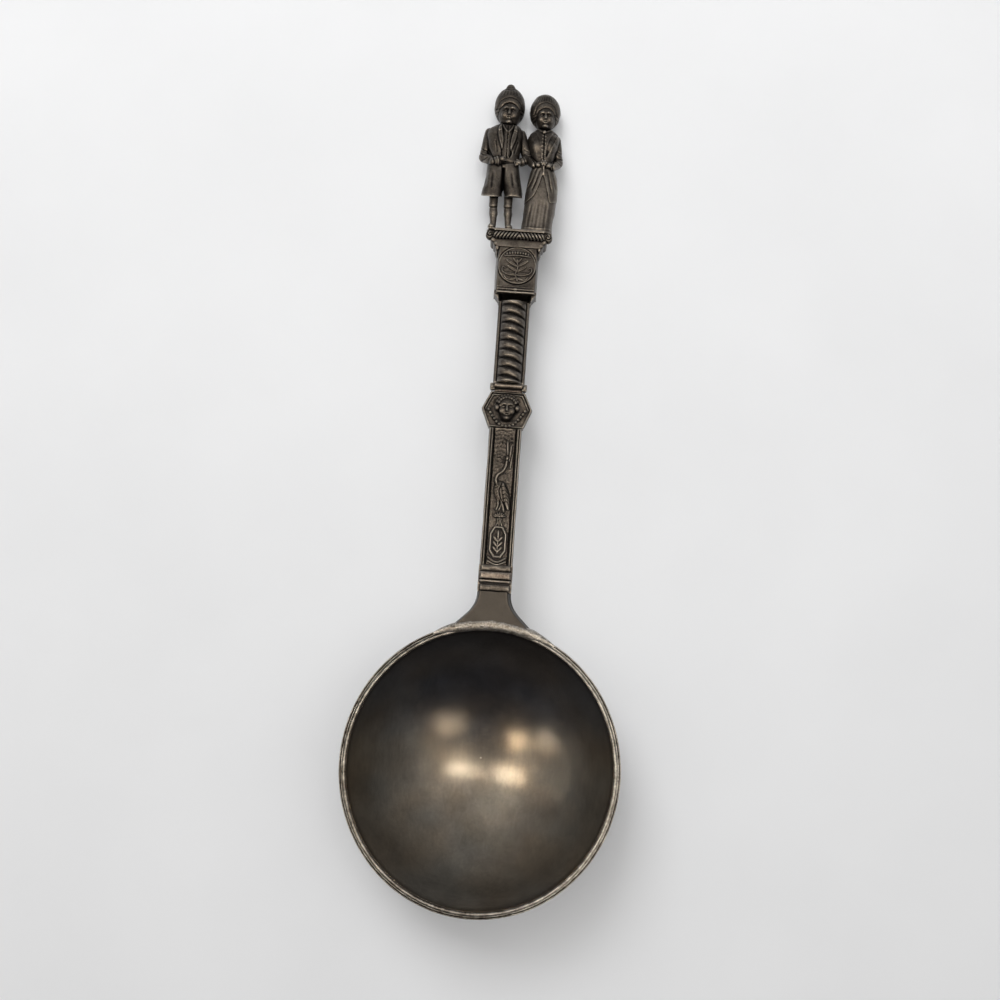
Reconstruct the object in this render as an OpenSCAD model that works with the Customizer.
// Souvenir spoon: a deep round bowl soldered to a cast handle whose finial is a couple in
// country dress on a moulded pedestal.
// The spoon lies at rest: bowl and the backs of the two hats on the surface, finial towards +Y.
// Each module is drawn flat, with the bowl's mouth at z = 0, and laid() then tips it to rest.

/* [Bowl] */
// Width over the rim band
bowl_width = 66.5; // [60:0.5:72]
// Bowl length as a multiple of its width
bowl_oval = 1.03; // [1:0.01:1.06]
// Depth of the bowl outside, below its mouth
bowl_depth = 19; // [17:0.5:21]
// Thickness of the bowl's wall
wall = 1; // [0.9:0.1:1.3]
// How far the worn underside is flattened into the bowl
wear = 0.3; // [0.2:0.05:0.4]

/* [Rim] */
// Diameter of the wire bead on the mouth
bead_d = 1; // [0.8:0.1:1.2]
// Width of the stepped band around the mouth
band_w = 0.8; // [0.6:0.1:1.2]
// Height of the stepped band
band_h = 2; // [1.6:0.1:2.6]

/* [Neck] */
// Width of the shoulder where it meets the bowl
shoulder_w = 17.6; // [16:0.2:20]
// Length of the shoulder
shoulder_len = 7.1; // [6.6:0.1:7.4]
// How far the solder stands beyond the rim
solder_out = 1.05; // [0.8:0.05:1.3]
// Width of the lower ring on the neck
ring_low_len = 1.7; // [1.4:0.1:2]
// Width of the main ring on the neck
ring_main_len = 2.6; // [2.2:0.1:3]
// Width of the upper ring on the neck
ring_top_len = 1.4; // [1.1:0.1:1.7]
// Groove between two rings
groove = 0.4; // [0.3:0.05:0.5]

/* [Stem] */
// Width of the stem
stem_w = 8; // [7.4:0.1:8.6]
// Length of the stem panel
panel_len = 33.5; // [32:0.5:36]
// Thickness of the stem below the panel's ground
stem_back = 2.3; // [2:0.1:2.8]
// Width of each raised rail
rail_w = 0.95; // [0.8:0.05:1.1]
// Height of the relief above the panel's ground
relief_h = 0.7; // [0.5:0.05:0.9]

/* [Mask plate] */
// Length of the six-sided plate
plate_len = 9; // [8.5:0.1:9.6]
// Width over the plate's two points
plate_w = 12.2; // [11.4:0.1:13]
// Number of beads on the garland
garland_beads = 14; // [10:2:16]

/* [Column] */
// Length of the collar below the column
collar_len = 2.2; // [2:0.1:2.6]
// Length of the roped column
column_len = 20.2; // [18:0.2:22]
// Number of rope turns on the column
rope_turns = 9; // [7:1:10]
// Slope of the rope turns in degrees
rope_slope = 22; // [12:1:28]

/* [Pedestal] */
// Length of the foot moulding
foot_len = 2.1; // [1.8:0.1:2.6]
// Length of the pedestal block
block_len = 10.6; // [10:0.2:12]
// Width of the pedestal block
block_w = 10.4; // [10:0.1:11]
// How far the block stands in front of the bowl's mouth plane
block_front = 3.2; // [2.8:0.1:3.6]
// Length of the cornice
cornice_len = 4.7; // [4.2:0.1:5.2]
// Width of the cornice
cornice_w = 16; // [15:0.2:17]
// Number of rope strands along the cornice
cornice_strands = 14; // [10:1:14]

/* [Figures] */
// Height of the man over his hat
man_tall = 37.8; // [36:0.2:39]
// Height of the woman over her bonnet
woman_tall = 35.8; // [34:0.2:37]
// Depth of the two figures behind the mouth plane
figure_back = 2.9; // [2.7:0.1:3.1]
// Man's middle, to the left of the spoon's centre line
man_x = 5.2; // [5.1:0.1:5.6]
// Woman's middle, to the right of the spoon's centre line
woman_x = 4.3; // [4.2:0.1:4.7]

/* [Hidden] */
$fn = 64;
round_fn = 28;
skin = 0.01;
big = 400;
dark = [0.31, 0.28, 0.25];
warm = [0.37, 0.33, 0.29];
worn = [0.50, 0.46, 0.41];
silver = [0.74, 0.71, 0.66];
inside = [0.26, 0.23, 0.21];

// Bowl: one sphere's cap, so a single radius gives depth and mouth
mouth_r = bowl_width / 2 - band_w;
sphere_r = (mouth_r * mouth_r + bowl_depth * bowl_depth) / (2 * bowl_depth);
sphere_z = sphere_r - bowl_depth;
bead_seat = bead_d * 0.45;
mouth_in = sqrt(pow(sphere_r - wall, 2) - pow(sphere_z, 2));
bead_r = (mouth_in + mouth_r) / 2;
band_top = -0.1;
rim_top = bead_d / 2;
rim_r = bowl_width / 2;
rim_y = rim_r * bowl_oval;

// Stations along the handle, counted from the bowl's centre
shoulder_y = rim_y + solder_out;
ring_low_y = shoulder_y + shoulder_len;
ring_main_y = ring_low_y + ring_low_len + groove;
ring_top_y = ring_main_y + ring_main_len + groove / 2;
panel_y = ring_top_y + ring_top_len;
plate_y = panel_y + panel_len;
collar_y = plate_y + plate_len;
column_y = collar_y + collar_len;
foot_y = column_y + column_len;
block_y = foot_y + foot_len;
cornice_y = block_y + block_len;
stand_y = cornice_y + cornice_len;
man_top = stand_y + man_tall;
woman_top = stand_y + woman_tall;

// Heights
ground = -0.5;
handle_back = ground - stem_back;
neck_front = 0.7;
ring_front = 1.15;
plate_front = 0.8;
cornice_front = block_front + 0.7;
body_deep = figure_back + 3;

// Rest: the bowl's sphere and the hats' backs touch the same level
reach = norm([man_top, figure_back + sphere_z]);
tilt = atan2(man_top, figure_back + sphere_z) - acos((sphere_r - wear) / reach);
lift = sphere_r - wear - sphere_z * cos(tilt);
low_y = -rim_y * cos(tilt) + (band_top - band_h / 2) * sin(tilt);
high_y = man_top * cos(tilt);
shift_y = -(low_y + high_y) / 2;

// Tips the flat drawing down to the surface that the spoon lies on
module laid() {
    translate([0, shift_y, lift]) rotate([-tilt, 0, 0]) children();
}

// A bar along the handle, from a cross-section drawn in x and z
module along(y0, len) {
    translate([0, y0 + len, 0]) rotate([90, 0, 0]) linear_extrude(len) children();
}

// A plain block between two heights
module block(x0, x1, y0, y1, z0, z1) {
    translate([x0, y0, z0]) cube([x1 - x0, y1 - y0, z1 - z0]);
}

// Half a ball that sits on the level z
module stud(r, z) {
    translate([0, 0, z]) rotate_extrude() intersection() {
        circle(r);
        square(r);
    }
}

// One flat-backed, round-fronted cross-section of a figure
module dome(x, y, w, deep) {
    translate([x, y + skin, -figure_back]) rotate([90, 0, 0]) linear_extrude(skin)
        intersection() {
            scale([w / 2, deep]) circle(1, $fn = round_fn);
            translate([-w, 0]) square([2 * w, 2 * deep]);
        }
}

// A figure's body between two such sections, each [x, y, width, depth]
module loft(a, b) {
    hull() {
        dome(a[0], a[1], a[2], a[3]);
        dome(b[0], b[1] - skin, b[2], b[3]);
    }
}

// A round limb between two points
module limb(a, b, ra, rb) {
    hull() {
        translate(a) sphere(ra, $fn = 16);
        translate(b) sphere(rb, $fn = 16);
    }
}

/* ---- bowl ---- */

// The ball that one side of the bowl's wall belongs to
module bowl_ball(r) {
    scale([1, bowl_oval, 1]) translate([0, 0, sphere_z]) sphere(r);
}

// An oval disc, as the bowl's mouth is oval
module oval_disc(r, low, high) {
    translate([0, 0, low]) scale([1, bowl_oval, 1]) cylinder(r = r, h = high - low);
}

module bowl_shell() {
    color(inside) difference() {
        laid() difference() {
            bowl_ball(sphere_r);
            bowl_ball(sphere_r - wall);
            block(-big / 2, big / 2, -big / 2, big / 2, -bead_seat, big);
        }
        block(-big / 2, big / 2, -big / 2, big / 2, -big, 0);
    }
}

module rim_bead() {
    color(silver) laid() scale([1, bowl_oval, 1]) rotate_extrude($fn = 180) intersection() {
        translate([bead_r, 0]) circle(bead_d / 2);
        translate([0, -bead_seat]) square([rim_r, bead_d]);
    }
}

module rim_band() {
    color(silver) laid() scale([1, bowl_oval, 1]) rotate_extrude($fn = 180) difference() {
        union() {
            translate([mouth_r, band_top - band_h / 2]) square([band_w, band_h / 2]);
            translate([mouth_r - 1, band_top - band_h]) square([1 + band_w * 0.6, band_h / 2]);
            translate([mouth_r - 1, -bead_seat - band_h / 2]) square([1.2, band_h / 2]);
        }
        translate([0, sphere_z]) circle(sphere_r);
    }
}

// Everything that the solder and shoulder must stay out of
module rim_room() {
    oval_disc(rim_r, band_top - band_h, rim_top);
    bowl_ball(sphere_r);
}

saddle_half = 12.5;
saddle_end_y = sqrt(pow(rim_r, 2) - pow(saddle_half, 2)) * bowl_oval + 0.2;
saddle_y = (pow(shoulder_y, 2) - pow(saddle_end_y, 2) - pow(saddle_half, 2))
    / (2 * (shoulder_y - saddle_end_y));
saddle_r = shoulder_y - saddle_y;
saddle_top = rim_top + 0.45;

module saddle_disc(low, high) {
    translate([0, saddle_y, low]) cylinder(r = saddle_r, h = high - low);
}

module solder_saddle() {
    color(silver) laid() difference() {
        saddle_disc(-2.4, saddle_top);
        rim_room();
        oval_disc(bead_r - 0.1, -3, 3);
    }
}

/* ---- neck ---- */

flare_dx = (shoulder_w - stem_w) / 2;
flare_r = (pow(flare_dx, 2) + pow(shoulder_len + 1, 2)) / (2 * flare_dx);

module neck_shoulder() {
    color(warm) laid() difference() {
        block(-shoulder_w / 2, shoulder_w / 2, shoulder_y - 4, ring_low_y, handle_back + 0.4, neck_front);
        for (side = [-1, 1]) {
            translate([side * (stem_w / 2 + flare_r), ring_low_y, -5]) cylinder(r = flare_r, h = 8);
        }
        saddle_disc(-4, 2);
        rim_room();
    }
}

module neck_core() {
    color(dark) laid()
        block(-stem_w / 2 + 0.4, stem_w / 2 - 0.4, ring_low_y, panel_y, handle_back, neck_front - 0.4);
}

module neck_ring(y, len, front) {
    laid() difference() {
        along(y, len) {
            translate([-stem_w / 2, handle_back]) square([stem_w, front - handle_back - len / 4]);
            translate([-stem_w / 2 + len / 4, handle_back])
                square([stem_w - len / 2, front - handle_back]);
        }
        block(-stem_w / 2 + 0.4, stem_w / 2 - 0.4, y - 1, y + len + 1, handle_back - 1, neck_front - 0.4);
    }
}

module neck_ring_lower() {
    color(worn) neck_ring(ring_low_y, ring_low_len, neck_front + 0.1);
}

module neck_ring_main() {
    color(worn) neck_ring(ring_main_y, ring_main_len, ring_front);
}

module neck_ring_upper() {
    color(worn) neck_ring(ring_top_y, ring_top_len, neck_front + 0.1);
}

/* ---- stem panel ---- */

module stem_bar() {
    color(warm) laid() block(-stem_w / 2, stem_w / 2, panel_y, plate_y, handle_back, ground);
}

module stem_rail(side) {
    laid() along(panel_y, panel_len) {
        translate([side * (stem_w - rail_w) / 2, ground + rail_w / 2]) circle(rail_w / 2);
        translate([side * (stem_w - rail_w) / 2 - rail_w / 2, ground]) square([rail_w, rail_w / 2]);
        translate([side * (stem_w / 2 - rail_w - 0.2) - 0.2, ground]) square([0.4, rail_w * 0.6]);
    }
}

module stem_rail_left() {
    color(worn) stem_rail(-1);
}

module stem_rail_right() {
    color(worn) stem_rail(1);
}

// A pointed leaf that grows up from the origin
module leaf(len, w) {
    r = (len * len / 4 + w * w / 4) / w;
    intersection() {
        translate([w / 2 - r, len / 2]) circle(r);
        translate([r - w / 2, len / 2]) circle(r);
    }
}

// A curved strip: part of a ring between two angles
module arc_strip(r, w, a0, a1) {
    far = r + w;
    mid = (a0 + a1) / 2;
    intersection() {
        difference() {
            circle(r + w / 2);
            circle(r - w / 2);
        }
        polygon([
            [0, 0],
            [2 * far * cos(a0), 2 * far * sin(a0)],
            [3 * far * cos(mid), 3 * far * sin(mid)],
            [2 * far * cos(a1), 2 * far * sin(a1)]
        ]);
    }
}

bird_y = panel_y + 17;

module panel_bird() {
    color(worn) laid() translate([0.4, bird_y, ground]) {
        linear_extrude(relief_h) rotate(14) translate([0, -3]) leaf(6.4, 2.9);
        linear_extrude(relief_h * 0.9) translate([2.1, 4.6]) arc_strip(2.6, 0.8, 95, 235);
        linear_extrude(relief_h) translate([1.7, 7.1]) circle(0.75);
        linear_extrude(relief_h * 0.9) polygon([[1.2, 7.5], [0.4, 9.6], [2.1, 7.3]]);
        linear_extrude(relief_h * 0.8) translate([-0.6, 0.5]) rotate(18) leaf(5, 1.6);
        for (x = [-0.5, 0.5]) {
            block(x - 0.2, x + 0.2, -5.2, -1.5, 0, relief_h * 0.7);
        }
    }
}

module panel_flower() {
    color(worn) laid() translate([0, panel_y + 11, ground]) linear_extrude(relief_h * 0.8)
        for (turn = [0 : 60 : 300]) {
            rotate(turn) translate([0.75, 0]) circle(0.55);
        }
}

cartouche_y = panel_y + 5.3;
cartouche_w = 4.5;
cartouche_len = 7.4;

module six_sided(w, len, tip) {
    polygon([
        [0, -len / 2],
        [w / 2, -len / 2 + tip],
        [w / 2, len / 2 - tip],
        [0, len / 2],
        [-w / 2, len / 2 - tip],
        [-w / 2, -len / 2 + tip]
    ]);
}

module panel_cartouche() {
    color(worn) laid() translate([0, cartouche_y, ground]) linear_extrude(relief_h) difference() {
        six_sided(cartouche_w, cartouche_len, 1.5);
        six_sided(cartouche_w - 1, cartouche_len - 1.2, 1.2);
    }
}

module panel_scroll() {
    color(worn) laid() translate([0, cartouche_y, ground]) linear_extrude(relief_h * 0.8)
        for (turn = [0, 180]) {
            rotate(turn) translate([0, 1.05]) arc_strip(0.9, 0.4, -90, 160);
        }
}

module panel_vase() {
    color(worn) laid() translate([0, cartouche_y + cartouche_len / 2, ground])
        linear_extrude(relief_h * 0.9) polygon([[-0.4, 0.1], [0.4, 0.1], [1.3, 1.3], [-1.3, 1.3]]);
}

/* ---- mask plate and collar ---- */

module plate_outline(inset) {
    mid = plate_len / 2;
    half = stem_w / 2 - inset;
    point = plate_w / 2 - inset * 1.15;
    polygon([
        [-half, inset],
        [half, inset],
        [point, mid],
        [half, plate_len - inset],
        [-half, plate_len - inset],
        [-point, mid]
    ]);
}

module mask_plate() {
    color(warm) laid() translate([0, plate_y, handle_back])
        linear_extrude(plate_front - handle_back) plate_outline(0);
}

module mask_plate_border() {
    color(worn) laid() translate([0, plate_y, plate_front]) linear_extrude(0.5) difference() {
        plate_outline(0.1);
        plate_outline(0.75);
    }
}

mask_y = plate_y + plate_len * 0.56;

module mask_face() {
    color(dark) laid() difference() {
        translate([0, mask_y, plate_front]) scale([1.9, 2.3, 1.3]) sphere(1);
        block(-5, 5, mask_y - 5, mask_y + 5, plate_front - 5, plate_front);
    }
}

module mask_hair() {
    color(dark) laid() translate([0, mask_y, plate_front]) linear_extrude(0.9) difference() {
        scale([2.6, 3]) circle(1);
        scale([1.95, 2.35]) circle(1);
        translate([-3, -4]) square([6, 4]);
    }
}

module bead_garland() {
    half_beads = garland_beads / 2;
    step_x = (plate_w / 2 - 1.9) / half_beads;
    step_y = plate_len * 0.30 / half_beads;
    color(worn) laid() for (side = [-1, 1], i = [0 : half_beads - 1]) {
        translate([side * (i + 0.5) * step_x, plate_y + 1.15 + i * step_y, 0])
            stud(step_x * 0.46, plate_front);
    }
}

collar_bed = -0.1;
collar_r = collar_len / 2 - 0.05;

module collar_bar() {
    color(worn) laid() intersection() {
        translate([-stem_w / 2 + 0.7, collar_y + collar_len / 2, collar_bed + 0.7]) rotate([0, 90, 0])
            cylinder(r = collar_r, h = stem_w - 1.4);
        block(-stem_w, stem_w, collar_y, column_y, collar_bed, 5);
    }
}

module collar_knob(side) {
    laid() intersection() {
        translate([side * (stem_w / 2 - 0.05) - 0.65, collar_y + collar_len / 2, collar_bed + 0.7])
            rotate([0, 90, 0]) rotate(22.5) cylinder(r = collar_r, h = 1.3, $fn = 8);
        block(-stem_w, stem_w, collar_y, column_y, collar_bed, 5);
    }
}

module collar_knob_left() {
    color(worn) collar_knob(-1);
}

module collar_knob_right() {
    color(worn) collar_knob(1);
}

/* ---- roped column ---- */

core_half = stem_w / 2 - 1.1;
core_z = -0.4;

module core_section() {
    translate([0, core_z]) circle(core_half);
    translate([-core_half, handle_back]) square([2 * core_half, core_z - handle_back]);
}

module column_core() {
    color(dark) laid() {
        along(column_y, column_len) core_section();
        block(-stem_w / 2, stem_w / 2, collar_y, column_y, handle_back, collar_bed);
        block(-core_half, core_half, column_y - 1, column_y + 1, handle_back, collar_bed);
    }
}

module column_rail(side) {
    laid() along(column_y, column_len)
        translate([side > 0 ? core_half : -stem_w / 2 + 0.2, handle_back])
            square([stem_w / 2 - 0.2 - core_half, 0.9 - handle_back]);
}

module column_rail_left() {
    color(dark) column_rail(-1);
}

module column_rail_right() {
    color(dark) column_rail(1);
}

module rope_ridge() {
    rotate([0, 0, -rope_slope]) rotate([90, 0, 0]) rotate_extrude(angle = 180)
        translate([core_half, 0]) circle(0.62);
}

module column_rope() {
    pitch = (column_len - 1.6) / rope_turns;
    color(worn) laid() difference() {
        intersection() {
            for (i = [0 : rope_turns - 1]) {
                translate([0, column_y + 0.8 + (i + 0.5) * pitch, core_z]) rope_ridge();
            }
            block(-core_half, core_half, column_y, foot_y, core_z, 5);
        }
        along(column_y - 1, column_len + 2) core_section();
    }
}

/* ---- pedestal and cornice ---- */

module pedestal_foot() {
    color(warm) laid() {
        block(-block_w / 2, block_w / 2, foot_y, foot_y + foot_len / 2, handle_back, block_front - 1.6);
        block(-block_w / 2, block_w / 2, foot_y + foot_len / 2, block_y, handle_back, block_front - 0.5);
    }
}

module pedestal_block() {
    color(warm) laid()
        block(-block_w / 2, block_w / 2, block_y, cornice_y, -figure_back, block_front);
}

module pedestal_fillets() {
    color(worn) laid() for (y = [0.25, 0.95]) {
        block(-block_w / 2 + 0.3, block_w / 2 - 0.3, block_y + y, block_y + y + 0.35,
            block_front, block_front + 0.3);
    }
}

oval_r = 4.1;
oval_y = cornice_y - oval_r - 0.1;

module oval_frame() {
    color(worn) laid() translate([0, oval_y, block_front]) scale([1.08, 1, 1]) rotate_extrude()
        translate([oval_r - 0.4, 0]) intersection() {
            circle(0.38);
            translate([-1, 0]) square([2, 1]);
        }
}

module oval_sprig() {
    color(worn) laid() translate([0, oval_y - 2.6, block_front]) linear_extrude(0.5) {
        translate([-0.2, 0]) square([0.4, 3.6]);
        translate([0, 2.6]) leaf(1.8, 1);
        for (side = [-1, 1]) {
            translate([0, 0.2]) rotate(side * 58) leaf(2, 1);
            translate([0, 1.7]) rotate(side * 50) leaf(1.8, 0.9);
        }
    }
}

module oval_bead_row() {
    color(worn) laid() for (i = [-3 : 3]) {
        translate([i * 0.72, oval_y + 2.45 - 0.05 * i * i, 0]) stud(0.33, block_front);
    }
}

module cornice_slab() {
    color(warm) laid() {
        block(-cornice_w / 2, cornice_w / 2, cornice_y + 0.5, stand_y, -figure_back, cornice_front);
        block(-cornice_w / 2 + 0.9, cornice_w / 2 - 0.9, cornice_y, cornice_y + 0.5,
            -figure_back, cornice_front - 0.4);
    }
}

scroll_r = 1.35;

module cornice_rope() {
    span = cornice_w - 4 * scroll_r - 0.6;
    pitch = span / cornice_strands;
    color(worn) laid() for (i = [0 : cornice_strands - 1]) {
        translate([-span / 2 + (i + 0.5) * pitch, cornice_y + cornice_len * 0.55, cornice_front])
            linear_extrude(0.55) rotate(-28) translate([-pitch * 0.36, -1.3]) square([pitch * 0.72, 2.6]);
    }
}

module cornice_scrolls() {
    color(worn) laid() for (side = [-1, 1]) {
        translate([side * (cornice_w / 2 - scroll_r), cornice_y + cornice_len * 0.5, cornice_front]) {
            difference() {
                cylinder(r = scroll_r, h = 0.6);
                translate([0, 0, 0.25]) cylinder(r = scroll_r - 0.4, h = 1);
            }
            translate([0, 0, 0.25]) cylinder(r = 0.45, h = 0.4);
        }
    }
}

module corbel(side) {
    steps = [2.1, 1.4, 0.7];
    laid() for (i = [0 : 2]) {
        x0 = side > 0 ? block_w / 2 : -block_w / 2 - steps[i];
        block(x0, x0 + steps[i], cornice_y - (i + 1) * 0.8, cornice_y, -figure_back,
            block_front - 0.3);
    }
}

module corbel_left() {
    color(warm) corbel(-1);
}

module corbel_right() {
    color(warm) corbel(1);
}

/* ---- the man, on the left ---- */

man_ankle = stand_y + man_tall * 0.035;
man_hem = stand_y + man_tall * 0.215;
man_waist = stand_y + man_tall * 0.475;
man_shoulder = stand_y + man_tall * 0.665;
man_chin = stand_y + man_tall * 0.72;
man_brim = stand_y + man_tall * 0.855;
leg_gap = 3.6;

module man_shoes() {
    color(dark) laid() for (side = [-1, 1]) {
        x = -man_x + 0.4 + side * leg_gap / 2;
        loft([x, stand_y, 2.5, body_deep + 0.5], [x, man_ankle, 2.1, body_deep - 0.5]);
    }
}

module man_legs() {
    color(dark) laid() for (side = [-1, 1]) {
        x = -man_x + 0.4 + side * leg_gap / 2;
        loft([x, man_ankle, 1.7, body_deep - 1.3], [x, man_hem, 2.5, body_deep - 0.8]);
    }
}

module man_coat_skirt() {
    knee = [-man_x + 0.3, man_hem, 10.2, body_deep];
    hip = [-man_x, man_waist - 3, 8.6, body_deep];
    color(dark) laid() {
        loft(knee, hip);
        loft(hip, [-man_x, man_waist, 7.6, body_deep - 0.6]);
    }
}

module jacket_shape() {
    chest = [-man_x - 0.3, man_shoulder - 3, 9, body_deep];
    loft([-man_x, man_waist, 7.6, body_deep - 0.6], chest);
    loft(chest, [-man_x + 0.6, man_chin, 4.6, body_deep - 1.4]);
}

module shirt_room() {
    translate([-man_x, man_waist + 1, 0]) linear_extrude(8)
        polygon([[-0.7, 0], [0.7, 0], [1.5, man_chin - man_waist - 2], [-1.5, man_chin - man_waist - 2]]);
}

module man_jacket() {
    color(dark) laid() difference() {
        jacket_shape();
        shirt_room();
    }
}

module man_shirt_front() {
    color(worn) laid() intersection() {
        jacket_shape();
        shirt_room();
    }
}

module man_arm(side) {
    shoulder = [-man_x + side * 3.6, man_shoulder - 1.6, -0.4];
    elbow = [-man_x + side * 4.6, man_waist + 0.6, -0.7];
    hand = [-man_x + side * 1.3, man_waist + 0.9, 3.1];
    laid() difference() {
        union() {
            limb(shoulder, elbow, 1.5, 1.25);
            limb(elbow, hand, 1.2, 0.95);
        }
        jacket_shape();
        loft([-man_x, man_waist - 3, 8.6, body_deep], [-man_x, man_waist, 7.6, body_deep - 0.6]);
        block(0, 9, stand_y, man_top, -9, 9);
    }
}

module man_arm_left() {
    color(dark) man_arm(-1);
}

module man_arm_right() {
    color(dark) man_arm(1);
}

module man_head() {
    color(worn) laid() loft([-man_x + 0.6, man_chin, 4.6, body_deep - 0.9],
        [-man_x + 0.6, man_brim, 6.2, body_deep - 0.1]);
}

module man_hat() {
    crown = man_top - (man_top - man_brim) * 0.35;
    color(dark) laid() {
        loft([-man_x + 0.65, man_brim, 7.5, body_deep + 0.2], [-man_x + 0.65, crown, 6.6, body_deep - 0.6]);
        loft([-man_x + 0.65, crown, 5.8, body_deep - 1], [-man_x + 0.6, man_top, 2.2, body_deep - 3]);
    }
}

/* ---- the woman, on the right ---- */

woman_waist = stand_y + woman_tall * 0.48;
woman_shoulder = stand_y + woman_tall * 0.69;
woman_chin = stand_y + woman_tall * 0.745;
woman_brow = stand_y + woman_tall * 0.84;

module skirt_shape() {
    hem = [woman_x - 0.1, stand_y, 8, body_deep + 0.6];
    hip = [woman_x, woman_waist - 4, 6.6, body_deep + 0.2];
    loft(hem, hip);
    loft(hip, [woman_x, woman_waist, 5, body_deep - 0.8]);
}

module apron_room() {
    drop = woman_waist - stand_y;
    translate([woman_x, woman_waist, 1.4]) linear_extrude(8)
        polygon([[-1, 0], [1, 0], [2.9, -drop * 0.62], [0, -drop * 0.5], [-2.9, -drop * 0.7]]);
}

module woman_skirt() {
    color(dark) laid() difference() {
        skirt_shape();
        apron_room();
    }
}

module woman_apron() {
    color(worn) laid() intersection() {
        skirt_shape();
        apron_room();
    }
}

module bodice_shape() {
    chest = [woman_x, woman_shoulder - 3.2, 7.2, body_deep + 0.3];
    loft([woman_x, woman_waist, 5, body_deep - 0.8], chest);
    loft(chest, [woman_x + 0.1, woman_chin, 4.2, body_deep - 1.4]);
}

module woman_bodice() {
    color(dark) laid() bodice_shape();
}

posy_at = [woman_x + 0.1, woman_waist + 0.9, 3.6];

module woman_arm(side) {
    shoulder = [woman_x + side * 2.9, woman_shoulder - 1.7, -0.4];
    elbow = [woman_x + side * 4.2, woman_waist + 0.3, -0.7];
    laid() difference() {
        union() {
            limb(shoulder, elbow, 1.4, 1.2);
            limb(elbow, [posy_at[0] + side * 1.6, posy_at[1] - 0.2, 2.5], 1.15, 0.9);
        }
        bodice_shape();
        skirt_shape();
        translate(posy_at) sphere(1.25, $fn = 16);
        block(-9, 0, stand_y, man_top, -9, 9);
    }
}

module woman_arm_left() {
    color(dark) woman_arm(-1);
}

module woman_arm_right() {
    color(dark) woman_arm(1);
}

module woman_posy() {
    color(worn) laid() difference() {
        translate(posy_at) sphere(1.25, $fn = 16);
        bodice_shape();
        skirt_shape();
    }
}

module woman_head() {
    color(worn) laid() loft([woman_x + 0.1, woman_chin, 4.2, body_deep - 0.9],
        [woman_x + 0.1, woman_brow, 6, body_deep - 0.3]);
}

module woman_bonnet() {
    crown = woman_top - (woman_top - woman_brow) * 0.3;
    color(dark) laid() {
        loft([woman_x + 0.1, woman_brow, 7.7, body_deep], [woman_x + 0.1, crown, 7, body_deep - 0.6]);
        loft([woman_x + 0.1, crown, 6.9, body_deep - 0.6], [woman_x, woman_top, 4.6, body_deep - 2.2]);
    }
}

bowl_shell();
rim_bead();
rim_band();
solder_saddle();
neck_shoulder();
neck_core();
neck_ring_lower();
neck_ring_main();
neck_ring_upper();
stem_bar();
stem_rail_left();
stem_rail_right();
panel_bird();
panel_flower();
panel_vase();
panel_cartouche();
panel_scroll();
mask_plate();
mask_plate_border();
mask_face();
mask_hair();
bead_garland();
collar_bar();
collar_knob_left();
collar_knob_right();
column_core();
column_rail_left();
column_rail_right();
column_rope();
pedestal_foot();
pedestal_block();
pedestal_fillets();
oval_frame();
oval_sprig();
oval_bead_row();
cornice_slab();
cornice_rope();
cornice_scrolls();
corbel_left();
corbel_right();
man_hat();
man_head();
man_jacket();
man_shirt_front();
man_arm_left();
man_arm_right();
man_coat_skirt();
man_legs();
man_shoes();
woman_bonnet();
woman_head();
woman_bodice();
woman_arm_left();
woman_arm_right();
woman_posy();
woman_skirt();
woman_apron();
